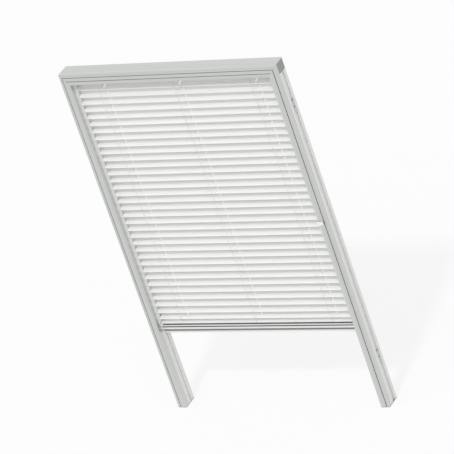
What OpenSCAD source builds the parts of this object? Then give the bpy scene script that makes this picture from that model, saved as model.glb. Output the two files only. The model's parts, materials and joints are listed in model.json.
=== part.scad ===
// Venetian blind for a roof window: aluminium side rails and headrail, white
// slats that tilt on a slider at the right rail, and a bottom bar that runs up
// the guides and gathers the slats. X runs across, Y from front to back, Z up.

/* [Overall] */
// Outer width across both side rails
blind_w = 644; // [480:1:1140]
// Height from the rail ends to the top of the headrail
blind_h = 1036; // [900:1:1400]

/* [Slats] */
// Number of slats
slat_count = 34; // [20:1:38]
// Width of a slat across its curve
slat_w = 25; // [22:0.5:28]
// Thickness of the slat sheet
slat_t = 0.3; // [0.2:0.05:0.4]
// Rise of the slat's curve
slat_crown = 2; // [1:0.1:2.5]
// Distance from one slat to the next
slat_pitch = 21.5; // [18:0.5:24]
// Distance from the last slat but one to the last
last_pitch = 19.5; // [15:0.5:24]
// Tilt of the slats as drawn, back edge up
slat_tilt = 15; // [-60:1:60]
// From the top of the headrail down to the first slat's axis
first_slat_drop = 53; // [50:1:80]
// Slats at the bottom that ride up with the bar
gathered_slats = 7; // [2:1:12]
// Room between a slat's end and the rail
slat_end_gap = 1.5; // [1.2:0.1:3]
// Width of the cord slots punched in the slats
cord_slot_w = 4; // [3:0.5:6]
// Length of the cord slots punched in the slats
cord_slot_l = 14; // [12:0.5:16]

/* [Side rails] */
// Width of a rail's front face
rail_w = 25.5; // [24:0.5:32]
// Wall thickness of the extrusions
wall = 1.5; // [1.2:0.1:2]
// Width of the outer lip on the rail's face
lip_w = 7.6; // [6:0.2:9]
// How far the lip is set back from the face
lip_drop = 1; // [1:0.1:2.5]
// Rise of the curve on the rail's face
face_crown = 0.6; // [0.4:0.1:0.9]
// Radius of the face's inner edge
face_edge_r = 1.4; // [0.8:0.1:1.8]
// Radius of the lip's outer edge
lip_edge_r = 0.8; // [0.4:0.1:1]
// Width of the groove beside the lip
face_groove_w = 1.6; // [0.6:0.1:2.5]
// Depth of the groove beside the lip
face_groove_d = 2.4; // [0.5:0.1:3]
// Depth of the rails in front of the slat guides, mitred at the upper corners
bay_depth = 13; // [12:0.5:13.5]
// From the rail's face back to the front edge of a flat slat
slat_setback = 17.5; // [17:0.5:22]
// Room behind the back edge of a flat slat
slat_back_room = 2; // [1.8:0.1:4]
// Width of the slot that the slat pins pass through
guide_slot_w = 2.4; // [2.2:0.1:4]
// Width of the channel behind that slot
guide_w = 10.8; // [10:0.2:12]
// Depth of the channel behind that slot
guide_d = 6.5; // [6:0.1:8]
// Width of the tongue that snaps into the rail's back
snap_w = 6; // [4:0.5:9]
// Thickness of the plug's plate under each rail
plug_t = 2; // [1.5:0.1:3]
// Length of the plug inside the rail
plug_l = 12; // [8:1:20]

/* [Headrail] */
// Height of the headrail
head_h = 31; // [30:0.5:36]
// Number of ribs along its face
head_ribs = 3; // [2:1:5]
// Width of the grooves between the ribs
rib_gap = 1.6; // [0.8:0.1:2]
// Height of the ribs over the grooves
rib_h = 1.8; // [0.8:0.1:2]
// Rise of the curve on each rib
rib_crown = 0.5; // [0.3:0.1:0.8]
// Thickness of the end caps
cap_t = 2; // [1.5:0.1:3]

/* [Tilt drive] */
// Distance of the outer ladders from the middle
ladder_x = 227; // [150:1:260]
// From a ladder to its lift cord
lift_cord_x = 12.5; // [12:0.5:16]
// Radius that the ladder cords wind on
drum_r = 8; // [7:0.1:9]
// Width of the winding on a drum
drum_w = 8; // [6:0.5:10]
// Radius of the drum's hub in its cradle
hub_r = 5; // [4.5:0.1:6]
// Corner radius of the six-sided tilt shaft
shaft_r = 3.2; // [2.8:0.1:3.6]
// Radius of the shaft's round ends
journal_r = 2.5; // [2:0.1:2.7]
// Height of the slider's middle above the rail ends
slider_z = 574; // [400:1:700]
// Height of the slider's tab
tab_h = 9; // [8:0.5:14]
// How far the tab stands out in front of the rail
tab_out = 5; // [4:0.5:8]
// Width of the tab across the rail's face
tab_w = 18; // [14:0.5:19]
// How far the tab hangs below the middle of the slider's arm
tab_drop = 4; // [0:0.5:5]
// Travel of the slider above its place as drawn
slider_up = 21; // [10:1:30]
// Travel of the slider below its place as drawn
slider_down = 13; // [10:1:20]

/* [Bottom bar] */
// Height of the bottom bar
bar_h = 26.5; // [24:0.5:30]
// From the rail's face back to the bar's face
bar_setback = 13; // [12.5:0.5:16]
// From the last slat's axis down to the bar
bar_drop = 18; // [16.5:0.5:24]
// How far the bar's front strip lies below its top
bar_step = 3; // [2:0.5:4]
// Thickness of that strip in front of the groove behind it
strip_t = 2.2; // [1.6:0.1:3]
// Width of the groove behind the strip
top_groove_w = 2.6; // [1.5:0.1:2.8]
// Depth of the groove behind the strip
top_groove_d = 1.8; // [1:0.1:2.2]
// From the strip's top down to the upper groove in the face
upper_groove_drop = 3.3; // [3:0.1:6]
// Width of the upper groove
upper_groove_w = 3; // [1:0.1:4]
// Depth of the upper groove
upper_groove_d = 5; // [1:0.1:6]
// From the bar's underside up to the lower groove
lower_groove_z = 5.6; // [3:0.1:7]
// Width of the lower groove
lower_groove_w = 5.4; // [2:0.1:6]
// Depth of the lower groove
lower_groove_d = 6; // [1:0.1:6]
// Height of the runners in the rails
runner_h = 20; // [14:1:21]

/* [Cords and fits] */
// Radius of the lift cords
lift_cord_r = 0.6; // [0.4:0.1:0.9]
// Radius of the ladder cords
ladder_cord_r = 0.35; // [0.25:0.05:0.5]
// Radius of the cord that turns the shaft
tilt_cord_r = 0.5; // [0.4:0.05:0.6]
// Radius of the pins on the slat ends
pin_r = 0.8; // [0.6:0.05:0.9]
// Height of a slat shoe
shoe_h = 3; // [2.6:0.1:3.2]
// Room around a sliding piece
slide_gap = 0.2; // [0.15:0.05:0.3]
// Room around a turning pin or hub
turn_gap = 0.06; // [0.04:0.01:0.09]
// Room around a piece that is pushed into place
push_gap = 0.1; // [0.05:0.05:0.2]

/* [Fixing] */
// Radius of the screw holes in the clips
screw_r = 2.1; // [1.6:0.1:2.6]
// Length of a clip
clip_l = 36; // [24:1:60]
// Height of the lower clips above the rail ends
clip_low_z = 140; // [60:1:300]
// From the top of the headrail down to the upper clips
clip_top_drop = 136; // [80:1:300]

/* [Hidden] */
$fn = 96;
over = 1;

// Places along the depth, counted back from the rail's face
rail_depth = slat_setback + slat_w + slat_back_room + wall;
axis_v = slat_setback + slat_w / 2;
origin_v = (rail_depth - tab_out) / 2;
front_wall_v = lip_drop + face_groove_d + wall;

// Places along the height
head_z = blind_h - head_h;
shaft_z = head_z + (head_h - wall) / 2;
last_z = blind_h - first_slat_drop - slat_pitch * (slat_count - 2) - last_pitch;
bar_top = last_z - bar_drop;
bar_z = bar_top - bar_h;
function slat_z(i) = i == slat_count ? last_z : blind_h - first_slat_drop - slat_pitch * (i - 1);

// Slat ends and their pins
slat_l = blind_w - 2 * (rail_w + slat_end_gap);
slat_r = arc_r(slat_w, slat_crown);
tip_t = 0.5;
tip_w = 6;
tip_l = 6;
web_t = 1;
pin_l = 6;

// Guide channel and the shoes in it, counted in from the rail's outer side
inner_u = rail_w - wall;
guide_u = inner_u - guide_d;
shoe_l = guide_d - 2 * slide_gap;
neck_w = guide_slot_w - 2 * slide_gap;
shoe_w = guide_w - 2 * slide_gap;

// Groove in a guide's outer side that the fixing clips hold
clip_mouth = 12;
clip_inner = 15;
clip_lip = 1.2;
clip_floor = 4;
clip_flange = 1.2;

// Slider, cord loop and pulley at the right guide
slider_back_v = axis_v - clip_inner / 2 - 2;
cord_u = (clip_floor + wall + guide_u - wall) / 2;
pulley_r = slat_w / 2 - 0.5;
pulley_rim = 1;
pulley_w = 5;
loop_z = plug_t + 4;
carriage_h = 24;
arm_t = 1.8;
arm_gap = 0.4;
neck_v = bay_depth + wall + 2 * slide_gap;
neck_d = 2.2;
neck_h = 8;

// Tongue on a slat guide that snaps into the rail's back
snap_u = rail_w / 2;
snap_hook = 0.8;
snap_head = 1;

// Ladders: their places across the blind and how far the cords hang apart
ladders = [-ladder_x, 0, ladder_x];
ladder_half = sqrt(slat_w * slat_w / 4 + slat_crown * slat_crown) + ladder_cord_r + 0.1;
split_z = slat_z(slat_count - gathered_slats) - slat_pitch / 2;
lift_pass_v = axis_v + shaft_r + lift_cord_r + 1;
drum_flange = 1.2;
drum_rim = 2;
cheek_t = 2;
cheek_gap = 0.8;
cradle_t = 1.6;
cradle_half_v = 10;
hub_half = drum_w / 2 + drum_flange + cheek_gap + cheek_t + 0.5;

// Bottom bar
bar_wall = 1.4;
bar_d = rail_depth - bar_setback - 3;
bar_cap_t = 4.6;
bar_cap_gap = 0.9;
bar_l = blind_w - 2 * (rail_w + bar_cap_gap + bar_cap_t);
bar_edge_r = 2.5;
strip_edge_r = strip_t / 2;

silver = [0.78, 0.80, 0.78];
white = [0.95, 0.95, 0.93];
grey = [0.60, 0.62, 0.61];
steel = [0.70, 0.71, 0.73];
thread = [0.90, 0.90, 0.88];

function two_digits(i) = str(i < 10 ? "0" : "", i);
function slat_name(i) = str("slat_", two_digits(i));
function carrier_name(i) = str("slat_carrier_", two_digits(i));
first_gathered = slat_count - gathered_slats + 1;

// Moves from rail coordinates (u in from the outer side, v back from the face) to the part's frame
module at_left() {
    translate([-blind_w / 2, -origin_v, 0]) children();
}

module at_right() {
    mirror([1, 0, 0]) at_left() children();
}

module on_both_sides() {
    at_left() children();
    at_right() children();
}

// Draws a (depth, height) outline along the blind's width, centred
module across(length) {
    translate([-length / 2, -origin_v, 0]) rotate([90, 0, 90]) linear_extrude(length) children();
}

// Rod between two points in a plane of constant x, given as [v, z]
module rod(x, from, to, r) {
    run = to[0] - from[0];
    rise = to[1] - from[1];
    translate([x, from[0] - origin_v, from[1]]) rotate([-atan2(run, rise), 0, 0])
        cylinder(h = sqrt(run * run + rise * rise), r = r);
}

// Radius of an arc that rises by crown over a width, and its drop at a distance from the edge
function arc_r(width, crown) = (width * width / 4 + crown * crown) / (2 * crown);
function arc_drop(width, crown, from_edge) =
    arc_r(width, crown) - sqrt(pow(arc_r(width, crown), 2) - pow(width / 2 - from_edge, 2));

// Strip of a flat bar whose front bulges by crown, with its apex at v = 0
module crowned_strip(width, depth, crown) {
    radius = arc_r(width, crown);
    intersection() {
        translate([width / 2, radius]) circle(radius);
        square([width, depth]);
    }
}

// What a round edge takes off the corner at the origin of a block in the positive quadrant
module corner_waste(radius) {
    difference() {
        translate([-over, -over]) square(radius + over);
        translate([radius, radius]) circle(radius);
    }
}

// Box in rail coordinates between two corners
module bay(from, to) {
    translate(from) square(to - from);
}

// Front of a side rail: a lip set back at the outer side, a groove and a curved face with round edges
module rail_outline() {
    face_w = rail_w - lip_w - face_groove_w;
    difference() {
        union() {
            bay([0, lip_drop], [rail_w, bay_depth]);
            translate([rail_w - face_w, 0]) crowned_strip(face_w, lip_drop, face_crown);
        }
        bay([lip_w, lip_drop - over], [lip_w + face_groove_w, lip_drop + face_groove_d]);
        translate([0, lip_drop]) corner_waste(lip_edge_r);
        translate([rail_w, arc_drop(face_w, face_crown, face_edge_r)]) mirror([1, 0])
            corner_waste(face_edge_r);
    }
}

module rail_profile() {
    snap_half = snap_w / 2 + push_gap;
    difference() {
        rail_outline();
        bay([wall, front_wall_v], [inner_u, bay_depth - wall]);
        bay([snap_u - snap_half, bay_depth - wall - over], [snap_u + snap_half, bay_depth + over]);
    }
}

// Aluminium side rails, mitred to the front of the headrail
module side_rails() {
    color(silver) on_both_sides() difference() {
        translate([0, 0, plug_t]) linear_extrude(blind_h - plug_t) rail_profile();
        translate([0, bay_depth + over, 0]) rotate([90, 0, 0]) linear_extrude(bay_depth + 2 * over)
            polygon([[0, blind_h], [rail_w, head_z], [rail_w + over, head_z],
                     [rail_w + over, blind_h + over], [0, blind_h + over]]);
    }
}

// Slat guide behind a rail: chambers for the slider and the cords, the slat channel with its slot,
// the groove for the fixing clips, and the tongue that snaps into the rail
module guide_profile() {
    channel_front = axis_v - guide_w / 2;
    channel_back = axis_v + guide_w / 2;
    hook_v = bay_depth - wall - push_gap;
    head_half = snap_w / 2 + snap_hook;
    difference() {
        union() {
            bay([0, bay_depth], [rail_w, rail_depth]);
            bay([snap_u - snap_w / 2, hook_v - snap_head], [snap_u + snap_w / 2, bay_depth + wall / 2]);
            bay([snap_u - head_half, hook_v - snap_head], [snap_u + head_half, hook_v]);
        }
        bay([wall, bay_depth + wall], [inner_u, slider_back_v]);
        bay([guide_u, channel_front], [inner_u, channel_back]);
        bay([inner_u - over, axis_v - guide_slot_w / 2], [rail_w + over, axis_v + guide_slot_w / 2]);
        bay([clip_floor + wall, channel_front], [guide_u - wall, channel_back]);
        bay([clip_floor + wall, channel_back + wall], [inner_u, rail_depth - wall]);
        bay([-over, axis_v - clip_mouth / 2], [clip_lip + over, axis_v + clip_mouth / 2]);
        bay([clip_lip, axis_v - clip_inner / 2], [clip_floor, axis_v + clip_inner / 2]);
    }
}

module slat_guide() {
    translate([0, 0, plug_t]) linear_extrude(head_z - plug_t) guide_profile();
}

// The right guide also has the slider's slot and a notch where the cord loop turns back
module slat_guides() {
    slot_low = slider_z - slider_down - neck_h / 2 - 2 * slide_gap;
    slot_high = slider_z + slider_up + neck_h / 2 + 2 * slide_gap;
    notch_w = 4 * tilt_cord_r;
    color(white) {
        at_left() slat_guide();
        at_right() difference() {
            slat_guide();
            translate([inner_u - over, neck_v - slide_gap, slot_low])
                cube([wall + 2 * over, neck_d + 2 * slide_gap, slot_high - slot_low]);
            translate([cord_u - notch_w / 2, axis_v - pulley_r - notch_w, plug_t - over])
                cube([notch_w, 2 * pulley_r + 2 * notch_w, loop_z - plug_t + notch_w + over]);
        }
    }
}

module headrail_profile() {
    rib_w = (head_h - (head_ribs - 1) * rib_gap) / head_ribs;
    difference() {
        translate([rib_h, 0]) square([rail_depth - rib_h, head_h]);
        bay([rib_h + wall, wall], [bay_depth - wall, head_h - wall]);
        bay([bay_depth, -over], [rail_depth - wall, head_h - wall]);
    }
    for (i = [0 : head_ribs - 1])
        translate([0, i * (rib_w + rib_gap) + rib_w]) rotate(-90) crowned_strip(rib_w, rib_h, rib_crown);
}

module headrail() {
    inner_x = blind_w / 2 - rail_w;
    color(silver) difference() {
        translate([0, 0, head_z]) across(blind_w) headrail_profile();
        for (side = [0, 1]) mirror([side, 0, 0])
            translate([0, bay_depth - origin_v, 0]) rotate([90, 0, 0]) linear_extrude(bay_depth + over)
                polygon([[inner_x, head_z], [blind_w / 2, blind_h], [blind_w / 2 + over, blind_h],
                         [blind_w / 2 + over, head_z - over], [inner_x, head_z - over]]);
    }
}

// End caps close the headrail's box and carry the shaft's ends
module headrail_end_caps() {
    boss_r = journal_r + 2.5;
    boss_l = 3.5;
    color(grey) on_both_sides() difference() {
        union() {
            translate([0, bay_depth + push_gap, head_z])
                cube([cap_t, rail_depth - wall - bay_depth - 2 * push_gap, head_h - wall - push_gap]);
            translate([0, axis_v, shaft_z]) rotate([0, 90, 0]) cylinder(h = cap_t + boss_l, r = boss_r);
        }
        translate([cap_t / 2, axis_v, shaft_z]) rotate([0, 90, 0])
            cylinder(h = cap_t + boss_l, r = journal_r + turn_gap);
    }
}

// Plugs close the rails' lower ends, and each holds the end of a rail cord
module rail_end_plugs() {
    stub_back = bay_depth - wall - snap_head - 3 * push_gap;
    color(grey) on_both_sides() {
        difference() {
            union() {
                linear_extrude(plug_t) {
                    rail_outline();
                    bay([0, bay_depth - over], [rail_w, rail_depth]);
                }
                translate([wall + push_gap, front_wall_v + push_gap, plug_t - 0.5])
                    cube([inner_u - wall - 2 * push_gap, stub_back - front_wall_v - push_gap, plug_l + 0.5]);
                translate([guide_u + push_gap, axis_v - guide_w / 2 + push_gap, plug_t - 0.5])
                    cube([guide_d - 2 * push_gap, guide_w - 2 * push_gap, plug_l + 0.5]);
            }
            translate([guide_u + guide_d / 2, axis_v, plug_t])
                cylinder(h = plug_l + over, r = lift_cord_r + push_gap);
        }
    }
}

// Clips that are screwed to the window and snap into the groove in a guide's outer side
module fixing_clip() {
    flange_u = clip_lip + slide_gap;
    length_v = clip_mouth - 2 * slide_gap;
    flange_v = clip_inner - 2 * slide_gap;
    difference() {
        translate([0, 0, -clip_l / 2]) linear_extrude(clip_l) {
            translate([0, axis_v - length_v / 2]) square([flange_u, length_v]);
            translate([flange_u, axis_v - flange_v / 2]) square([clip_flange, flange_v]);
        }
        translate([-over, axis_v, 0]) rotate([0, 90, 0]) cylinder(h = clip_floor + over, r = screw_r);
        translate([flange_u, axis_v, 0]) rotate([0, 90, 0])
            cylinder(h = clip_flange + 0.01, r1 = screw_r, r2 = screw_r + clip_flange);
    }
}

module fixing_clips() {
    color(steel) for (z = [clip_low_z, blind_h - clip_top_drop])
        on_both_sides() translate([0, 0, z]) fixing_clip();
}

// Cradle that hangs in the headrail and carries a ladder drum on its hub
module drum_cradle() {
    cheek_x = drum_w / 2 + drum_flange + cheek_gap;
    cheek_half_v = hub_r + 2.5;
    base_z = head_h - wall - cradle_t + head_z;
    difference() {
        union() {
            translate([-cheek_x - cheek_t - 2, axis_v - cradle_half_v, base_z])
                cube([2 * cheek_x + cheek_t + lift_cord_x, 2 * cradle_half_v, cradle_t]);
            for (side = [0, 1]) mirror([side, 0, 0]) {
                translate([cheek_x, axis_v - cheek_half_v, shaft_z])
                    cube([cheek_t, 2 * cheek_half_v, base_z - shaft_z + cradle_t / 2]);
                translate([cheek_x, axis_v, shaft_z]) rotate([0, 90, 0])
                    cylinder(h = cheek_t, r = cheek_half_v);
            }
        }
        translate([-hub_half - over, axis_v, shaft_z]) rotate([0, 90, 0])
            cylinder(h = 2 * hub_half + 2 * over, r = hub_r + turn_gap);
        translate([lift_cord_x, lift_pass_v, base_z - over])
            cylinder(h = cradle_t + 2 * over, r = lift_cord_r + push_gap);
    }
}

module drum_cradles() {
    color(white) for (x = ladders) translate([x, -origin_v, 0]) drum_cradle();
}

// Turned shape about the tilt shaft, given as an outline of radius against length
module on_shaft(x) {
    translate([x, axis_v - origin_v, shaft_z]) rotate([0, 90, 0]) difference() {
        rotate_extrude() children();
        translate([0, 0, -blind_w / 2]) cylinder(h = blind_w, r = shaft_r + push_gap / 2, $fn = 6);
    }
}

module ladder_drums() {
    rim = drum_r + drum_rim;
    edge = drum_w / 2;
    side = edge + drum_flange;
    color(white) for (x = ladders) on_shaft(x)
        polygon([[0, -hub_half], [hub_r, -hub_half], [hub_r, -side], [rim, -side], [rim, -edge],
                 [drum_r, -edge], [drum_r, edge], [rim, edge], [rim, side], [hub_r, side],
                 [hub_r, hub_half], [0, hub_half]]);
}

module tilt_pulley() {
    rim = pulley_r + pulley_rim;
    root = pulley_r - tilt_cord_r - push_gap;
    half = pulley_w / 2;
    groove = tilt_cord_r + 2 * push_gap;
    color(white) on_shaft(blind_w / 2 - cord_u)
        polygon([[0, -half], [rim, -half], [rim, -groove - 0.5], [root, -groove], [root, groove],
                 [rim, groove + 0.5], [rim, half], [0, half]]);
}

module tilt_shaft() {
    hex_l = blind_w - 2 * (cap_t + 5);
    full_l = blind_w - 2 * (cap_t / 2 + 0.5);
    color(steel) translate([0, axis_v - origin_v, shaft_z]) rotate([0, 90, 0]) {
        cylinder(h = hex_l, r = shaft_r, center = true, $fn = 6);
        cylinder(h = full_l, r = journal_r, center = true);
    }
}

// Endless cord from the pulley down the rail's chambers, clamped by the slider on its front run
module tilt_cord() {
    x = blind_w / 2 - cord_u;
    front_v = axis_v - pulley_r;
    back_v = axis_v + pulley_r;
    color(thread) {
        translate([x, axis_v - origin_v, shaft_z]) rotate([90, 0, 90])
            rotate_extrude(angle = 180) translate([pulley_r, 0]) circle(tilt_cord_r);
        rod(x, [front_v, loop_z], [front_v, shaft_z], tilt_cord_r);
        rod(x, [back_v, loop_z], [back_v, shaft_z], tilt_cord_r);
        rod(x, [front_v, loop_z], [back_v, loop_z], tilt_cord_r);
        for (v = [front_v, back_v]) translate([x, v - origin_v, loop_z]) sphere(tilt_cord_r);
    }
}

// Slider: a carriage inside the right guide, an arm round the rail's inner edge and a tab on its face
module tilt_slider() {
    carriage_u = clip_floor + 2;
    arm_u = rail_w + arm_gap;
    end_u = arm_u + arm_t;
    tab_u = end_u - tab_w;
    tab_round = 2;
    color(white) at_right() translate([0, 0, slider_z]) difference() {
        union() {
            translate([carriage_u, bay_depth + wall + slide_gap, -carriage_h / 2])
                cube([inner_u - slide_gap - carriage_u, slider_back_v - bay_depth - wall - 2 * slide_gap,
                      carriage_h]);
            translate([inner_u - slide_gap - 0.5, neck_v, -neck_h / 2])
                cube([end_u - inner_u + slide_gap + 0.5, neck_d, neck_h]);
            translate([arm_u, -tab_out / 2, -neck_h / 2])
                cube([arm_t, neck_v + neck_d + tab_out / 2, neck_h]);
            translate([tab_u, -tab_out, -tab_h / 2 - tab_drop]) tab_block(tab_round);
        }
        translate([cord_u, axis_v - pulley_r, -carriage_h])
            cylinder(h = 2 * carriage_h, r = tilt_cord_r + slide_gap);
    }
}

// Tab with round upper and lower front edges and a finger groove along its front
module tab_block(edge_r) {
    thick = tab_out - arm_gap;
    rotate([90, 0, 90]) linear_extrude(tab_w) difference() {
        union() {
            translate([edge_r, 0]) square([thick - edge_r, tab_h]);
            translate([0, edge_r]) square([thick, tab_h - 2 * edge_r]);
            for (w = [edge_r, tab_h - edge_r]) translate([edge_r, w]) circle(edge_r);
        }
        translate([-tab_h / 2, tab_h / 2]) circle(tab_h / 2 + 0.5);
    }
}

// Outline of the slat's sheet or of a band under it, from radius r_in to r_out, about the pin's axis
module slat_band(width, r_in, r_out) {
    translate([0, -slat_r]) intersection() {
        difference() {
            circle(r_out);
            circle(r_in);
        }
        translate([-width / 2, 0]) square([width, r_out + over]);
    }
}

module slat_length(length) {
    rotate([90, 0, 90]) linear_extrude(length) children();
}

module cord_slot() {
    end_y = (cord_slot_l - cord_slot_w) / 2;
    translate([0, 0, -slat_crown - over]) linear_extrude(slat_crown + 2 * over) {
        translate([-cord_slot_w / 2, -end_y]) square([cord_slot_w, 2 * end_y]);
        for (y = [-end_y, end_y]) translate([0, y]) circle(cord_slot_w / 2);
    }
}

module slat_strip() {
    translate([-slat_l / 2, 0, 0]) slat_length(slat_l)
        slat_band(slat_w, slat_r - slat_t / 2, slat_r + slat_t / 2);
}

module slat_sheet() {
    difference() {
        slat_strip();
        for (x = ladders) translate([x + lift_cord_x, 0, 0]) cord_slot();
    }
}

// Moulded tip under the slat's end, with the pin that turns in the shoe
module slat_tip() {
    under = slat_r - slat_t / 2;
    translate([slat_l / 2 - tip_l, 0, 0]) slat_length(tip_l + web_t / 2)
        slat_band(tip_w, under - tip_t, under);
    translate([slat_l / 2, 0, 0]) slat_length(web_t) slat_band(tip_w, under - tip_t, under + slat_t);
    translate([slat_l / 2 + web_t / 2, 0, 0]) rotate([0, 90, 0]) cylinder(h = pin_l + web_t / 2, r = pin_r);
}

module slat(i) {
    translate([0, axis_v - origin_v, slat_z(i)]) rotate([slat_tilt, 0, 0]) {
        color(white) slat_sheet();
        color(grey) for (side = [0, 1]) mirror([side, 0, 0]) slat_tip();
    }
}

// Pair of shoes that run in the guide channels and carry one slat's pins
module shoe_pair(i) {
    bore_l = slat_end_gap + pin_l + web_t;
    on_both_sides() translate([0, axis_v, slat_z(i)]) difference() {
        translate([guide_u + slide_gap, -shoe_w / 2, -shoe_h / 2]) cube([shoe_l, shoe_w, shoe_h]);
        translate([rail_w - bore_l, 0, 0]) rotate([0, 90, 0])
            cylinder(h = bore_l + over, r = pin_r + turn_gap);
    }
}

module slat_shoes() {
    color(grey) for (i = [1 : first_gathered - 1]) shoe_pair(i);
}

module slat_carrier(i) {
    color(grey) shoe_pair(i);
}

// Ladder cords: from the drums to the slats' edges, and straight down in front of and behind them
module ladder_cords() {
    start = drum_r + ladder_cord_r + push_gap;
    knot_r = 1.6 * ladder_cord_r;
    color(thread) for (x = ladders, side = [-1, 1]) {
        edge_v = axis_v + side * ladder_half;
        rod(x, [axis_v + side * start, shaft_z], [edge_v, slat_z(1)], ladder_cord_r);
        rod(x, [edge_v, split_z], [edge_v, slat_z(1)], ladder_cord_r);
        translate([x, edge_v - origin_v, slat_z(1)]) sphere(knot_r);
    }
}

module ladder_cord_tails() {
    color(thread) for (x = ladders, side = [-1, 1]) {
        edge_v = axis_v + side * ladder_half;
        rod(x, [edge_v, bar_top], [edge_v, split_z], ladder_cord_r);
    }
}

// Lift cords: from the cradles down past the shaft and through the slats into the bar
module lift_cords() {
    bead_r = 1.3 * lift_cord_r;
    foot = [axis_v, bar_top - bar_h / 2];
    low_bend = [axis_v, slat_z(1) + slat_w / 2 + 2];
    high_bend = [lift_pass_v, shaft_z - shaft_r - 2];
    top = [lift_pass_v, head_z + head_h - wall];
    color(thread) for (x = ladders) {
        rod(x + lift_cord_x, foot, low_bend, lift_cord_r);
        rod(x + lift_cord_x, low_bend, high_bend, lift_cord_r);
        rod(x + lift_cord_x, high_bend, top, lift_cord_r);
        for (bend = [low_bend, high_bend])
            translate([x + lift_cord_x, bend[0] - origin_v, bend[1]]) sphere(bead_r);
    }
}

// The same cords go on from the bar's runners down to the plugs
module rail_cords() {
    cord_x = blind_w / 2 - guide_u - guide_d / 2;
    runner_z = bar_z + (bar_h - runner_h) / 2;
    color(thread) for (x = [-cord_x, cord_x])
        rod(x, [axis_v, plug_t + plug_l / 2], [axis_v, runner_z], lift_cord_r);
}

// Bar's outline in depth and height: a front strip with two grooves and round edges, and behind a groove
// the higher top that the lowest slat lies on
module bar_outline() {
    strip_h = bar_h - bar_step;
    top_v = strip_t + top_groove_w;
    difference() {
        union() {
            translate([bar_edge_r, 0]) square([bar_d - bar_edge_r, strip_h]);
            translate([0, bar_edge_r]) square([bar_d, strip_h - bar_edge_r - strip_edge_r]);
            translate([strip_edge_r, bar_edge_r]) square([bar_d - strip_edge_r, strip_h - bar_edge_r]);
            translate([bar_edge_r, bar_edge_r]) circle(bar_edge_r);
            translate([strip_edge_r, strip_h - strip_edge_r]) circle(strip_edge_r);
            translate([top_v, strip_h - over]) square([bar_d - top_v, bar_step + over]);
        }
        translate([strip_t, strip_h - top_groove_d]) square([top_groove_w, top_groove_d + over]);
        translate([-over, strip_h - upper_groove_drop - upper_groove_w])
            square([over + upper_groove_d, upper_groove_w]);
        translate([-over, lower_groove_z]) square([over + lower_groove_d, lower_groove_w]);
    }
}

module bar_hollow(gap) {
    front = max(strip_t + top_groove_w, upper_groove_d, lower_groove_d) + bar_wall;
    translate([front + gap, bar_wall + gap])
        square([bar_d - front - bar_wall - 2 * gap, bar_h - 2 * bar_wall - 2 * gap]);
}

// Holes for the lift cords, from z upwards
module lift_holes(z, height) {
    for (x = ladders) translate([x + lift_cord_x, axis_v - origin_v, z]) cylinder(h = height, r = 2 * lift_cord_r);
}

// Bar, and the lowest slat that lies on its top
module bottom_bar() {
    sheet_under = slat_r - slat_t / 2;
    edge_drop = slat_r - sqrt(sheet_under * sheet_under - slat_w * slat_w / 4);
    color(silver) difference() {
        translate([0, bar_setback, bar_z]) across(bar_l) difference() {
            bar_outline();
            bar_hollow(0);
        }
        lift_holes(bar_top - bar_wall - over, bar_wall + 2 * over);
    }
    color(white) difference() {
        translate([0, axis_v - origin_v, bar_top + edge_drop + push_gap / 2]) slat_strip();
        lift_holes(bar_top, slat_crown + slat_t + 2 * over);
    }
}

// End shoes: a cap and plug on the bar's end, and the runner that slides in the guide
module bar_end_shoes() {
    cap_u = rail_w + bar_cap_gap;
    plug_in = 10;
    runner_z = bar_z + (bar_h - runner_h) / 2;
    color(white) on_both_sides() {
        translate([cap_u, bar_setback, bar_z]) rotate([90, 0, 90]) linear_extrude(bar_cap_t) bar_outline();
        translate([cap_u + bar_cap_t - 0.5, bar_setback, bar_z]) rotate([90, 0, 90])
            linear_extrude(plug_in + 0.5) bar_hollow(push_gap);
        translate([inner_u - slide_gap - 0.5, axis_v - neck_w / 2, runner_z])
            cube([cap_u - inner_u + slide_gap + 1, neck_w, runner_h]);
        translate([guide_u + slide_gap, axis_v - shoe_w / 2, runner_z]) cube([shoe_l, shoe_w, runner_h]);
    }
}

headrail();
side_rails();
slat_guides();
headrail_end_caps();
rail_end_plugs();
fixing_clips();
drum_cradles();
slat_shoes();
ladder_cords();
ladder_cord_tails();
lift_cords();
rail_cords();
tilt_cord();
tilt_shaft();
ladder_drums();
tilt_pulley();
tilt_slider();
bottom_bar();
bar_end_shoes();
for (i = [first_gathered : slat_count]) slat_carrier(i);
for (i = [1 : slat_count]) slat(i);
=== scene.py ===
import json
import math

import bmesh
import bpy
from bpy.props import FloatProperty, FloatVectorProperty, PointerProperty
from mathutils import Matrix, Vector

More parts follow.
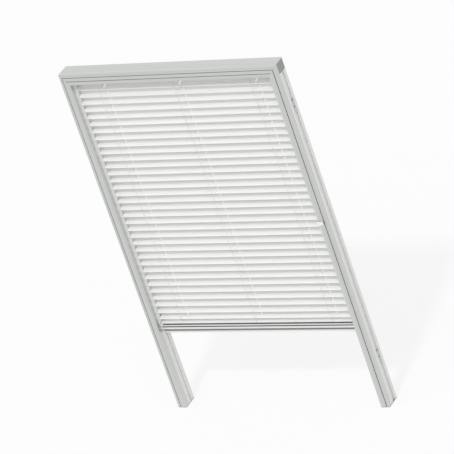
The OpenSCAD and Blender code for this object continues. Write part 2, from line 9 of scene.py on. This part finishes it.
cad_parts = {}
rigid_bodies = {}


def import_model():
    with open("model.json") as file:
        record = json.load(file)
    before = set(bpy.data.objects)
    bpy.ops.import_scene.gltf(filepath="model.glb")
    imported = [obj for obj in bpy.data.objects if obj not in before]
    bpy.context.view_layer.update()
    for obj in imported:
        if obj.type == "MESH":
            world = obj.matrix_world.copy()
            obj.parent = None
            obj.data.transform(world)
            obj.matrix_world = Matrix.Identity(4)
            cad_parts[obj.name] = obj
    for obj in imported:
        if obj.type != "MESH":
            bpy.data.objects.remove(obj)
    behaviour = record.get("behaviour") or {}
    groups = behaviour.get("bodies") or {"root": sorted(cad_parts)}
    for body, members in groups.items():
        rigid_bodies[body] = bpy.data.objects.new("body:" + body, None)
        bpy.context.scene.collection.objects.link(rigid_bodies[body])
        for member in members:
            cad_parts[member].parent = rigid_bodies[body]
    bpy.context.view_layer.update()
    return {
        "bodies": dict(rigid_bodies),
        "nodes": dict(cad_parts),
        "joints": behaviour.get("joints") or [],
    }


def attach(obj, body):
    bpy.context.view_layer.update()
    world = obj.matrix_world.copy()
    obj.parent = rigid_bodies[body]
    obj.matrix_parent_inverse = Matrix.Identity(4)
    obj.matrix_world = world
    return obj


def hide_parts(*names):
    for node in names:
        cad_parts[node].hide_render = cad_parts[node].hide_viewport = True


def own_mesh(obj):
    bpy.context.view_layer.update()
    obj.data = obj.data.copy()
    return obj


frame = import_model()

bl_info = {
    "name": "Roof window venetian blind",
    "version": (1, 0, 0),
    "blender": (4, 5, 0),
    "location": "3D View > Sidebar > Blind",
    "description": "Dresses a venetian blind in side rails: cords, slats, rails, fittings and stage",
    "category": "Object",
}

MM = 0.001
JOINTS = {joint["name"]: joint for joint in frame["joints"]}
CARRIERS = sorted(name for name in frame["bodies"] if name.startswith("slat_carrier_"))
SLATS = sorted(name for name in frame["bodies"] if name.startswith("slat_") and name not in CARRIERS)

# Places that the cords run through, in millimetres of the part's frame. Each ladder has a front
# and a back string, from the drum past a bend and down to the bar, and a lift cord beside it.
LADDER_X = (-227.0, 0.0, 227.0)
AXIS_Y = 9.5
LADDER_HALF = 13.11
DRUM_HALF = 8.45
SHAFT_Z = 1019.75
LADDER_BEND_Z = 1006.5
LADDER_HEAD_Z = 994.5
SPLIT_Z = 413.25
BAR_TOP_Z = 257.5
LIFT_CORD_X = 12.5
LIFT_ROUTE = ((AXIS_Y, 244.25), (AXIS_Y, 997.5), (14.3, 1014.55), (14.3, 1034.5))

# Twist of the cords: their strands, the radius in the hollows between strands as a share, mesh
# steps in a turn, and the length of a lift cord's turn in turns of a ladder string
LADDER_STRANDS = 3
LIFT_STRANDS = 4
STRAND_HOLLOW = 0.74
TURN_STEPS = 6
LIFT_TURN = 1.5

# Curved sheet of a slat, in millimetres and degrees
SLAT_PITCH = 21.5
SLAT_RADIUS = 40.06
SLAT_SHEET = 0.3
SLAT_TILT = 15.0
SHEET_END = 295.1

# Rung under a slat: its reach from the apex to the front and to the back in degrees, its height as
# a share of its width, the millimetres that it clears the sheet by, and its mesh
RUNG_FRONT = 21.4
RUNG_BACK = 18.95
RUNG_FLATNESS = 0.25
RUNG_GAP = 0.03
RUNG_SIDES = 6
RUNG_STEPS = 12

# Copy of a slat's mesh: the distance in metres that merges its corners, and the angle from which
# an edge is sharp
MERGE = 1e-6
SHARP_EDGE = math.radians(30)

# Marks that the die leaves along the aluminium: their sizes and depth in millimetres, the share of
# each in the pattern, and the tone of the darkest
DIE_RUN = 900.0
DIE_LINE = 1.2
DIE_BAND = 5.0
LINE_SHARE = 0.4
BAND_SHARE = 0.6
DIE_TONE = 0.82
DIE_RELIEF = 0.02

# Widths of the grooves that get painted shade, in millimetres, and the rays that find them
RAIL_GROOVE = 6.0
BAR_GROOVE = 5.0
GROOVE_RAYS = 16

# Part of its range that a noise pattern fills most of the time
NOISE_RANGE = {"From Min": 0.3, "From Max": 0.7}

# Inputs and output of a Mix node that blends two colours
MIX_SHARE = 0
MIX_LOW = 6
MIX_HIGH = 7
MIX_RESULT = 2

# Stage, in metres and radians, with the camera's sensor in millimetres
CAMERA_TARGET = Vector((0.0231, -0.0205, 0.5649))
CAMERA_SENSOR = 36
CAMERA_REACH = 200
KEY_AZIMUTH = math.radians(10)
KEY_SPREAD = math.radians(5)
FLOOR_HALF = 40
FLOOR_DROP = 0.2 * MM
PAPER = "E1E1E1"
PAPER_SHADOW = "898989"
PAPER_GLOW = 0.74


def linear(hex_code):
    """Linear colour of an sRGB hex value."""
    parts = [int(hex_code[i:i + 2], 16) / 255 for i in (0, 2, 4)]
    return tuple(p / 12.92 if p <= 0.04045 else ((p + 0.055) / 1.055) ** 2.4 for p in parts)


def opaque(colour, share=1.0):
    """Colour for a node's socket, darkened to a share."""
    return (*(part * share for part in colour), 1.0)


def per_metre(*sizes):
    """Pattern scales from feature sizes in millimetres."""
    return tuple(1000 / size for size in sizes)


def add_node(tree, kind, inputs=(), **settings):
    """Adds a node, sets it and its sockets, and links the sockets that are given another socket."""
    node = tree.nodes.new(kind)
    for key, value in settings.items():
        setattr(node, key, value)
    for key, value in dict(inputs).items():
        if isinstance(value, bpy.types.NodeSocket):
            tree.links.new(value, node.inputs[key])
        else:
            node.inputs[key].default_value = value
    return node


def new_material(name):
    """Empty node material, with its tree."""
    material = bpy.data.materials.new(name)
    material.use_nodes = True
    material.node_tree.nodes.clear()
    return material, material.node_tree


def surface(tree, inputs):
    """Principled shader with these sockets, joined to the output."""
    shader = add_node(tree, "ShaderNodeBsdfPrincipled", inputs)
    add_node(tree, "ShaderNodeOutputMaterial", {"Surface": shader.outputs["BSDF"]})


def grain(tree, sizes, detail=2.0):
    """Noise on the piece's own coordinates, with features of the given sizes in millimetres."""
    own = add_node(tree, "ShaderNodeTexCoord")
    scaled = add_node(tree, "ShaderNodeMapping",
                      {"Vector": own.outputs["Object"], "Scale": per_metre(*sizes)})
    noise = add_node(tree, "ShaderNodeTexNoise",
                     {"Vector": scaled.outputs["Vector"], "Scale": 1.0, "Detail": detail})
    return noise.outputs["Fac"]


def past(tree, axis, place, both_ways=False):
    """One past a place in millimetres along an axis of the piece, and nought before it."""
    own = add_node(tree, "ShaderNodeTexCoord")
    split = add_node(tree, "ShaderNodeSeparateXYZ", {"Vector": own.outputs["Object"]})
    reach = split.outputs[axis]
    if both_ways:
        reach = add_node(tree, "ShaderNodeMath", {0: reach}, operation="ABSOLUTE").outputs[0]
    step = add_node(tree, "ShaderNodeMath", {0: reach, 1: place * MM}, operation="GREATER_THAN")
    return step.outputs[0]


def uneven(tree, colour, tone, rough, relief):
    """Sockets of a finish that varies with patterns.

    tone: a pattern, and the share that the colour darkens to where it is low
    rough: a pattern, and the roughness at the low and the high end of its range
    relief: a pattern, and its depth in millimetres
    """
    shades, darkest = tone
    toned = add_node(tree, "ShaderNodeMix", {MIX_SHARE: shades, MIX_LOW: opaque(colour, darkest),
                                             MIX_HIGH: opaque(colour)}, data_type="RGBA")
    smears, low, high = rough
    gloss = add_node(tree, "ShaderNodeMapRange",
                     {"Value": smears, **NOISE_RANGE, "To Min": low, "To Max": high})
    heights, depth = relief
    bumps = add_node(tree, "ShaderNodeBump",
                     {"Height": heights, "Distance": depth * MM, "Strength": 1.0})
    return {"Base Color": toned.outputs[MIX_RESULT], "Roughness": gloss.outputs["Result"],
            "Normal": bumps.outputs["Normal"]}


def die_lines(tree, along):
    """Fine lines and broader bands along an extrusion, drawn coarser than a die leaves them."""
    sizes = [(width, width, DIE_RUN) for width in (DIE_LINE, DIE_BAND)]
    if along == "X":
        sizes = [size[::-1] for size in sizes]
    fine, broad = [grain(tree, size) for size in sizes]
    lines = add_node(tree, "ShaderNodeMath", {0: fine, 1: LINE_SHARE}, operation="MULTIPLY")
    both = add_node(tree, "ShaderNodeMath", {0: broad, 1: BAND_SHARE, 2: lines.outputs[0]},
                    operation="MULTIPLY_ADD")
    return both.outputs[0]


def anodised(tree, colour, groove_shade, along, groove, rough):
    """Sockets of an extrusion: the die's lines, and painted shade in grooves up to a width in
    millimetres.
    """
    lines = die_lines(tree, along)
    contrast = add_node(tree, "ShaderNodeMapRange", {"Value": lines, **NOISE_RANGE})
    finish = uneven(tree, colour, (contrast.outputs["Result"], DIE_TONE), (lines, *rough),
                    (lines, DIE_RELIEF))
    # Painted shade: the colour darkens towards a grey where ambient occlusion finds the piece's own
    # surfaces close by, in grooves and recesses
    open_sky = add_node(tree, "ShaderNodeAmbientOcclusion", {"Distance": groove * MM},
                        samples=GROOVE_RAYS, only_local=True)
    groove_shaded = add_node(tree, "ShaderNodeMix", {MIX_SHARE: open_sky.outputs["AO"], MIX_LOW: opaque(groove_shade),
                                             MIX_HIGH: finish["Base Color"]}, data_type="RGBA")
    return {**finish, "Base Color": groove_shaded.outputs[MIX_RESULT]}


def anodised_aluminium(name, colour, groove_shade, along):
    """Satin anodised extrusion: soft broad highlights, faint lines along it and painted shade in its
    grooves.
    """
    material, tree = new_material(name)
    surface(tree, {**anodised(tree, colour, groove_shade, along, RAIL_GROOVE, (0.30, 0.40)), "Metallic": 1.0})
    return material


def bar_aluminium(colour, groove_shade, lacquer):
    """The same extrusion across the blind, with the lowest slat's white lacquer above its top."""
    material, tree = new_material("anodised_aluminium_under_lacquered_slat")
    finish = anodised(tree, colour, groove_shade, "X", BAR_GROOVE, (0.32, 0.42))
    slat = past(tree, "Z", BAR_TOP_Z)
    metal = add_node(tree, "ShaderNodeMath", {0: 1.0, 1: slat}, operation="SUBTRACT")
    both = add_node(tree, "ShaderNodeMix", {MIX_SHARE: slat, MIX_LOW: finish["Base Color"],
                                            MIX_HIGH: opaque(lacquer)}, data_type="RGBA")
    surface(tree, {**finish, "Base Color": both.outputs[MIX_RESULT], "Metallic": metal.outputs[0]})
    return material


def slat_lacquer(colour, tip_colour):
    """Stove-lacquered strip: semi-matt white, slight orange peel, and moulded tips past its ends."""
    material, tree = new_material("white_lacquered_aluminium")
    clouds = grain(tree, (60.0, 12.0, 12.0))
    peel = grain(tree, (1.6, 1.6, 1.6))
    finish = uneven(tree, colour, (clouds, 0.985), (clouds, 0.38, 0.46), (peel, 0.006))
    tip = past(tree, "X", SHEET_END, both_ways=True)
    both = add_node(tree, "ShaderNodeMix", {MIX_SHARE: tip, MIX_LOW: finish["Base Color"],
                                            MIX_HIGH: opaque(tip_colour)}, data_type="RGBA")
    surface(tree, {**finish, "Base Color": both.outputs[MIX_RESULT]})
    return material


def moulded_plastic(name, colour, rough, grit):
    """Injection-moulded plastic: even colour, and slightly uneven gloss.

    The mould's fine grit is drawn coarser than it is.
    """
    material, tree = new_material(name)
    flow = grain(tree, (18.0, 18.0, 18.0))
    spark = grain(tree, (grit, grit, grit), detail=3.0)
    surface(tree, uneven(tree, colour, (flow, 0.97), (flow, *rough), (spark, 0.012)))
    return material


def zinc_plated_steel(colour):
    """Bright zinc on steel sheet: cool grey with a fine mottle of crystals."""
    material, tree = new_material("zinc_plated_steel")
    mottle = grain(tree, (2.5, 2.5, 2.5), detail=4.0)
    finish = uneven(tree, colour, (mottle, 0.88), (mottle, 0.26, 0.38), (mottle, 0.008))
    surface(tree, {**finish, "Metallic": 1.0})
    return material


def polyester_cord(colour):
    """Spun polyester: matt white with a little sheen, and fibres drawn coarser than real ones."""
    material, tree = new_material("twisted_polyester_cord")
    fibres = grain(tree, (0.25, 0.25, 0.9), detail=3.0)
    toned = add_node(tree, "ShaderNodeMix", {MIX_SHARE: fibres, MIX_LOW: opaque(colour, 0.85),
                                             MIX_HIGH: opaque(colour)}, data_type="RGBA")
    bumps = add_node(tree, "ShaderNodeBump",
                     {"Height": fibres, "Distance": 0.03 * MM, "Strength": 1.0})
    surface(tree, {"Base Color": toned.outputs[MIX_RESULT], "Roughness": 0.85, "Sheen Weight": 0.2,
                   "Normal": bumps.outputs["Normal"]})
    return material


def wear(names, material):
    """Gives these CAD nodes one material."""
    for name in names:
        mesh = frame["nodes"][name].data
        mesh.materials.clear()
        mesh.materials.append(material)


def finished_mesh(name, bm):
    """Mesh from a bmesh, which is freed."""
    mesh = bpy.data.meshes.new(name)
    bm.to_mesh(mesh)
    bm.free()
    return mesh


def new_piece(name, bm, material):
    """Object at the origin from a bmesh, with its material."""
    bmesh.ops.recalc_face_normals(bm, faces=bm.faces)
    for face in bm.faces:
        face.smooth = True
    mesh = finished_mesh(name, bm)
    mesh.materials.append(material)
    piece = bpy.data.objects.new(name, mesh)
    bpy.context.scene.collection.objects.link(piece)
    return piece


def wind(length, radius, strands, pitch):
    """Mesh of a twisted cord up the Z axis, in millimetres: a lobed section wound along its length."""
    turns = length / pitch
    steps = max(2, round(turns * TURN_STEPS))
    bm = bmesh.new()
    section = bmesh.ops.create_circle(bm, cap_ends=True, segments=2 * strands, radius=radius * MM)
    bmesh.ops.scale(bm, vec=(STRAND_HOLLOW, STRAND_HOLLOW, 1), verts=section["verts"][::2])
    bmesh.ops.spin(bm, geom=[*bm.verts, *bm.edges, *bm.faces], cent=(0, 0, 0), axis=(0, 0, 1),
                   dvec=(0, 0, length * MM / steps), angle=2 * math.pi * turns, steps=steps,
                   use_merge=False)
    return finished_mesh("wound_cord", bm)


def string_along(bm, points, radius, strands, pitch, wound):
    """Adds a twisted cord along points in millimetres; runs of one length are wound once."""
    for start, end in zip(points, points[1:]):
        run = Vector(end) - Vector(start)
        key = (round(run.length, 4), radius, strands)
        if key not in wound:
            wound[key] = wind(run.length, radius, strands, pitch)
        first = len(bm.verts)
        bm.from_mesh(wound[key])
        bm.verts.ensure_lookup_table()
        turn = run.to_track_quat("Z", "Y").to_matrix().to_4x4()
        place = Matrix.Translation(Vector(start) * MM) @ turn
        bmesh.ops.transform(bm, matrix=place, verts=bm.verts[first:])


def facing(azimuth, elevation):
    """Turn of a camera or lamp that faces the blind from this far to the right and this high."""
    return Matrix.Rotation(azimuth, 4, "Z") @ Matrix.Rotation(math.pi / 2 - elevation, 4, "X")


class BlindSizes(bpy.types.PropertyGroup):
    """Sizes of the cords, and the stage's camera and light."""
    ladder_radius: FloatProperty(name="Ladder cord", description="Radius of a ladder cord",
                                 default=0.35 * MM, unit="LENGTH", precision=5)
    lift_radius: FloatProperty(name="Lift cord", description="Radius of a lift cord",
                               default=0.6 * MM, unit="LENGTH", precision=5)
    rung_radius: FloatProperty(name="Rung", description="Radius of a ladder rung",
                               default=0.3 * MM, unit="LENGTH", precision=5)
    twist_pitch: FloatProperty(name="Twist", description="Length of one turn of a cord's strands",
                               default=4.0 * MM, unit="LENGTH", precision=5)
    camera_distance: FloatProperty(name="Camera distance", description="From the camera to the blind",
                                   default=12.553, unit="LENGTH")
    camera_azimuth: FloatProperty(name="Camera azimuth", description="Turn of the camera to the right",
                                  default=math.radians(35.496), subtype="ANGLE")
    camera_elevation: FloatProperty(name="Camera elevation", description="Height of the camera",
                                    default=math.radians(27.2145), subtype="ANGLE")
    camera_roll: FloatProperty(name="Camera roll", description="Turn of the camera about its view",
                               default=math.radians(-19.354), subtype="ANGLE")
    camera_lens: FloatProperty(name="Lens", description="Focal length in millimetres",
                               default=386.8, unit="CAMERA")
    key_strength: FloatProperty(name="Key light", description="Strength of the key light",
                                default=0.75)
    key_elevation: FloatProperty(name="Key elevation", description="Height of the key light",
                                 default=math.radians(54), subtype="ANGLE")
    ambient_front: FloatProperty(name="Front light", description="Strength of soft light from in front",
                                 default=1.14)
    ambient_back: FloatProperty(name="Back light", description="Strength of soft light from behind",
                                default=0.4)


class BlindColours(bpy.types.PropertyGroup):
    """Colours of the finishes."""
    aluminium: FloatVectorProperty(name="Aluminium", description="Anodised headrail and side rails",
                                   subtype="COLOR", default=linear("D6D9D6"))
    bar: FloatVectorProperty(name="Bottom bar", description="Anodised bottom bar",
                             subtype="COLOR", default=linear("F0F2F0"))
    # Painted shade: the grey that the aluminium's grooves and recesses darken towards
    groove_shade: FloatVectorProperty(name="Shade", description="Dust in the grooves of the aluminium",
                              subtype="COLOR", default=linear("5E605F"))
    slat: FloatVectorProperty(name="Slats", description="Lacquer of the slats",
                              subtype="COLOR", default=linear("F1F1F0"))
    white_plastic: FloatVectorProperty(name="White plastic", description="Guides, slider and end caps",
                                       subtype="COLOR", default=linear("F0F0EE"))
    grey_plastic: FloatVectorProperty(name="Grey plastic", description="Shoes, plugs and slat tips",
                                      subtype="COLOR", default=linear("9EA2A0"))
    steel: FloatVectorProperty(name="Steel", description="Zinc plating of the shaft and clips",
                               subtype="COLOR", default=linear("C4C6C6"))
    cord: FloatVectorProperty(name="Cords", description="Polyester of the cords",
                              subtype="COLOR", default=linear("D9DAD8"))


class BLIND_OT_stage(bpy.types.Operator):
    """Camera, key light, soft light all round and a paper floor"""
    bl_idname = "blind.stage"
    bl_label = "Stage"

    def execute(self, context):
        scene = context.scene
        scene.view_settings.view_transform = "Standard"
        self.add_camera(scene, scene.blind_sizes)
        self.add_key_light(scene, scene.blind_sizes)
        self.add_soft_light(scene, scene.blind_sizes)
        self.add_floor(scene)
        return {"FINISHED"}

    def add_camera(self, scene, sizes):
        """Camera at the photograph's angle."""
        camera = bpy.data.objects.new("camera", bpy.data.cameras.new("camera"))
        camera.data.lens = sizes.camera_lens
        camera.data.sensor_width = CAMERA_SENSOR
        camera.data.clip_end = CAMERA_REACH
        turn = facing(sizes.camera_azimuth, sizes.camera_elevation)
        roll = Matrix.Rotation(sizes.camera_roll, 4, "Z")
        back = Matrix.Translation((0, 0, sizes.camera_distance))
        camera.matrix_world = Matrix.Translation(CAMERA_TARGET) @ turn @ roll @ back
        scene.collection.objects.link(camera)
        scene.camera = camera

    def add_key_light(self, scene, sizes):
        """Soft key light from the front and above."""
        key = bpy.data.objects.new("key_light", bpy.data.lights.new("key_light", "SUN"))
        key.data.energy = sizes.key_strength
        key.data.angle = KEY_SPREAD
        key.matrix_world = facing(KEY_AZIMUTH, sizes.key_elevation)
        scene.collection.objects.link(key)

    def add_soft_light(self, scene, sizes):
        """World that lights the blind more from in front than behind, and is white where it is seen."""
        world = bpy.data.worlds.new("studio")
        world.use_nodes = True
        tree = world.node_tree
        tree.nodes.clear()
        way = add_node(tree, "ShaderNodeTexCoord")
        split = add_node(tree, "ShaderNodeSeparateXYZ", {"Vector": way.outputs["Generated"]})
        soft = add_node(tree, "ShaderNodeMapRange",
                        {"Value": split.outputs["Y"], "From Min": -1.0, "From Max": 1.0,
                         "To Min": sizes.ambient_front, "To Max": sizes.ambient_back})
        strength = add_node(tree, "ShaderNodeMapRange",
                            {"Value": self.seen_rays(tree), "To Min": soft.outputs["Result"],
                             "To Max": 1.0})
        sky = add_node(tree, "ShaderNodeBackground",
                       {"Color": opaque(linear("FFFFFF")), "Strength": strength.outputs["Result"]})
        add_node(tree, "ShaderNodeOutputWorld", {"Surface": sky.outputs["Background"]})
        scene.world = world

    def add_floor(self, scene):
        """Wide flat floor just under the rails' ends."""
        bm = bmesh.new()
        bmesh.ops.create_grid(bm, x_segments=1, y_segments=1, size=FLOOR_HALF)
        bmesh.ops.translate(bm, vec=(0, 0, -FLOOR_DROP), verts=bm.verts)
        mesh = finished_mesh("floor", bm)
        mesh.materials.append(self.paper())
        floor = bpy.data.objects.new("floor", mesh)
        scene.collection.objects.link(floor)

    def seen_rays(self, tree):
        """One for the rays that show the background, in the view itself and in metal or glass."""
        path = add_node(tree, "ShaderNodeLightPath")
        seen = path.outputs["Is Camera Ray"]
        for other in ("Is Glossy Ray", "Is Transmission Ray"):
            either = add_node(tree, "ShaderNodeMath", {0: seen, 1: path.outputs[other]},
                              operation="MAXIMUM")
            seen = either.outputs[0]
        return seen

    def paper(self):
        """White studio paper: matt, and white in the view apart from a pale shadow."""
        material, tree = new_material("white_studio_paper")
        bounce = add_node(tree, "ShaderNodeBsdfDiffuse", {"Color": opaque(linear(PAPER))})
        shadow = add_node(tree, "ShaderNodeBsdfDiffuse", {"Color": opaque(linear(PAPER_SHADOW))})
        glow = add_node(tree, "ShaderNodeEmission",
                        {"Color": opaque(linear("FFFFFF")), "Strength": PAPER_GLOW})
        both = add_node(tree, "ShaderNodeAddShader", {0: shadow.outputs[0], 1: glow.outputs[0]})
        mixed = add_node(tree, "ShaderNodeMixShader", {0: self.seen_rays(tree), 1: bounce.outputs[0],
                                                       2: both.outputs[0]})
        add_node(tree, "ShaderNodeOutputMaterial", {"Surface": mixed.outputs[0]})
        return material


class BLIND_OT_cords(bpy.types.Operator):
    """Twisted ladder strings and lift cords, and the cords inside the guides"""
    bl_idname = "blind.cords"
    bl_label = "Cords"

    def execute(self, context):
        sizes = context.scene.blind_sizes
        thread = polyester_cord(context.scene.blind_colours.cord)
        wound = {}
        self.add_ladder_strings(sizes, thread, wound)
        self.add_lift_strings(sizes, thread, wound)
        for mesh in wound.values():
            bpy.data.meshes.remove(mesh)
        wear(["rail_cords", "tilt_cord"], thread)
        return {"FINISHED"}

    def add_ladder_strings(self, sizes, thread, wound):
        """Strings in front of and behind the slats: heads at the drums, middles, and lower tails."""
        radius = sizes.ladder_radius / MM
        pitch = sizes.twist_pitch / MM
        heads = bmesh.new()
        ladders = bmesh.new()
        tails = bmesh.new()
        for x in LADDER_X:
            for side in (-1, 1):
                y = AXIS_Y + side * LADDER_HALF
                drum = (x, AXIS_Y + side * DRUM_HALF, SHAFT_Z)
                head = (x, y, LADDER_HEAD_Z)
                split = (x, y, SPLIT_Z)
                runs = ((heads, [head, (x, y, LADDER_BEND_Z), drum]),
                        (ladders, [split, head]),
                        (tails, [(x, y, BAR_TOP_Z), split]))
                for bm, points in runs:
                    string_along(bm, points, radius, LADDER_STRANDS, pitch, wound)
        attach(new_piece("ladder_string_heads", heads, thread), "frame")

        ladder_piece = new_piece("ladder_strings", ladders, thread)
        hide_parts("ladder_cords")
        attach(ladder_piece, "frame")
        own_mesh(ladder_piece)

        tail_piece = new_piece("ladder_string_tails", tails, thread)
        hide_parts("ladder_cord_tails")
        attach(tail_piece, "frame")
        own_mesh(tail_piece)

    def add_lift_strings(self, sizes, thread, wound):
        """Thicker cords through the slats."""
        pitch = LIFT_TURN * sizes.twist_pitch / MM
        lifts = bmesh.new()
        for x in LADDER_X:
            points = [(x + LIFT_CORD_X, y, z) for y, z in LIFT_ROUTE]
            string_along(lifts, points, sizes.lift_radius / MM, LIFT_STRANDS, pitch, wound)
        lift_piece = new_piece("lift_strings", lifts, thread)
        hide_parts("lift_cords")
        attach(lift_piece, "frame")
        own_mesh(lift_piece)


class BLIND_OT_rungs(bpy.types.Operator):
    """Flat ladder rungs, three under each slat, which turn with it"""
    bl_idname = "blind.rungs"
    bl_label = "Ladder rungs"

    def execute(self, context):
        radius = context.scene.blind_sizes.rung_radius
        thread = bpy.data.materials["twisted_polyester_cord"]
        for slat in SLATS:
            axis = Vector(JOINTS[slat.replace("slat_", "slat_tilt_")]["pos_m"])
            rungs = self.three_rungs(axis, radius)
            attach(new_piece(slat.replace("slat_", "rungs_"), rungs, thread), slat)
        top_axis = Vector(JOINTS["slat_tilt_01"]["pos_m"]) + Vector((0, 0, SLAT_PITCH * MM))
        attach(new_piece("rungs_top", self.three_rungs(top_axis, radius), thread), "frame")
        return {"FINISHED"}

    def three_rungs(self, axis, radius):
        """Rungs that follow the underside of a slat with this axis."""
        reach = (SLAT_RADIUS - SLAT_SHEET / 2 - RUNG_GAP) * MM - radius * RUNG_FLATNESS
        centre = Vector((0, 0, -SLAT_RADIUS * MM))
        upright = Matrix.Rotation(math.pi / 2, 4, "X") @ Matrix.Diagonal((1, RUNG_FLATNESS, 1, 1))
        bm = bmesh.new()
        for x in LADDER_X:
            apex = Matrix.Translation((x * MM, 0, reach - SLAT_RADIUS * MM))
            bmesh.ops.create_circle(bm, cap_ends=True, segments=RUNG_SIDES, radius=radius,
                                    matrix=apex @ upright)
        to_front = Matrix.Rotation(math.radians(RUNG_FRONT), 3, "X")
        bmesh.ops.rotate(bm, cent=centre, matrix=to_front, verts=bm.verts)
        bmesh.ops.spin(bm, geom=[*bm.verts, *bm.edges, *bm.faces], cent=centre, axis=(1, 0, 0),
                       angle=-math.radians(RUNG_FRONT + RUNG_BACK), steps=RUNG_STEPS, use_merge=False)
        place = Matrix.Translation(axis) @ Matrix.Rotation(math.radians(SLAT_TILT), 4, "X")
        bmesh.ops.transform(bm, matrix=place, verts=bm.verts)
        return bm


class BLIND_OT_aluminium(bpy.types.Operator):
    """Anodised headrail, side rails and bottom bar with the lowest slat on it"""
    bl_idname = "blind.aluminium"
    bl_label = "Aluminium"

    def execute(self, context):
        colours = context.scene.blind_colours
        wear(["side_rails"],
             anodised_aluminium("anodised_aluminium_upright", colours.aluminium, colours.groove_shade, "Z"))
        wear(["headrail"],
             anodised_aluminium("anodised_aluminium_across", colours.aluminium, colours.groove_shade, "X"))
        wear(["bottom_bar"], bar_aluminium(colours.bar, colours.groove_shade, colours.slat))
        return {"FINISHED"}


class BLIND_OT_slats(bpy.types.Operator):
    """Lacquered slats with moulded tips, and a fixed one above them under the headrail"""
    bl_idname = "blind.slats"
    bl_label = "Slats"

    def execute(self, context):
        colours = context.scene.blind_colours
        lacquer = slat_lacquer(colours.slat, colours.grey_plastic)
        wear(SLATS, lacquer)
        bm = bmesh.new()
        bm.from_mesh(frame["nodes"][SLATS[0]].data)
        bmesh.ops.remove_doubles(bm, verts=bm.verts, dist=MERGE)
        bmesh.ops.translate(bm, vec=(0, 0, SLAT_PITCH * MM), verts=bm.verts)
        for edge in bm.edges:
            edge.smooth = edge.calc_face_angle(0) < SHARP_EDGE
        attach(new_piece("top_slat", bm, lacquer), "frame")
        return {"FINISHED"}


class BLIND_OT_mouldings(bpy.types.Operator):
    """White and grey moulded pieces"""
    bl_idname = "blind.mouldings"
    bl_label = "Mouldings"

    def execute(self, context):
        colours = context.scene.blind_colours
        white = moulded_plastic("white_moulded_plastic", colours.white_plastic, (0.28, 0.36), grit=0.6)
        wear(["slat_guides", "tilt_slider", "bar_end_shoes"], white)
        wear(["drum_cradles", "ladder_drums", "tilt_pulley"], white)
        grey = moulded_plastic("grey_moulded_plastic", colours.grey_plastic, (0.45, 0.55), grit=0.8)
        wear(["headrail_end_caps", "rail_end_plugs", "slat_shoes", *CARRIERS], grey)
        return {"FINISHED"}


class BLIND_OT_fittings(bpy.types.Operator):
    """Plated steel shaft and fixing clips"""
    bl_idname = "blind.fittings"
    bl_label = "Steel fittings"

    def execute(self, context):
        wear(["tilt_shaft", "fixing_clips"], zinc_plated_steel(context.scene.blind_colours.steel))
        return {"FINISHED"}


class BLIND_PT_panel(bpy.types.Panel):
    """Sizes, colours and pieces of the blind"""
    bl_idname = "BLIND_PT_panel"
    bl_label = "Venetian blind"
    bl_space_type = "VIEW_3D"
    bl_region_type = "UI"
    bl_category = "Blind"

    def draw(self, context):
        for group in (context.scene.blind_sizes, context.scene.blind_colours):
            for key in group.__annotations__:
                self.layout.prop(group, key)
        for step in STEPS:
            self.layout.operator(step.bl_idname)


STEPS = (BLIND_OT_stage, BLIND_OT_cords, BLIND_OT_rungs, BLIND_OT_aluminium, BLIND_OT_slats,
         BLIND_OT_mouldings, BLIND_OT_fittings)
CLASSES = (BlindSizes, BlindColours, *STEPS, BLIND_PT_panel)


def register():
    for cls in CLASSES:
        bpy.utils.register_class(cls)
    bpy.types.Scene.blind_sizes = PointerProperty(type=BlindSizes)
    bpy.types.Scene.blind_colours = PointerProperty(type=BlindColours)


def unregister():
    del bpy.types.Scene.blind_colours
    del bpy.types.Scene.blind_sizes
    for cls in reversed(CLASSES):
        bpy.utils.unregister_class(cls)


def main():
    register()
    bpy.ops.blind.stage()
    bpy.ops.blind.cords()
    bpy.ops.blind.rungs()
    bpy.ops.blind.aluminium()
    bpy.ops.blind.slats()
    bpy.ops.blind.mouldings()
    bpy.ops.blind.fittings()


if __name__ == "__main__":
    main()
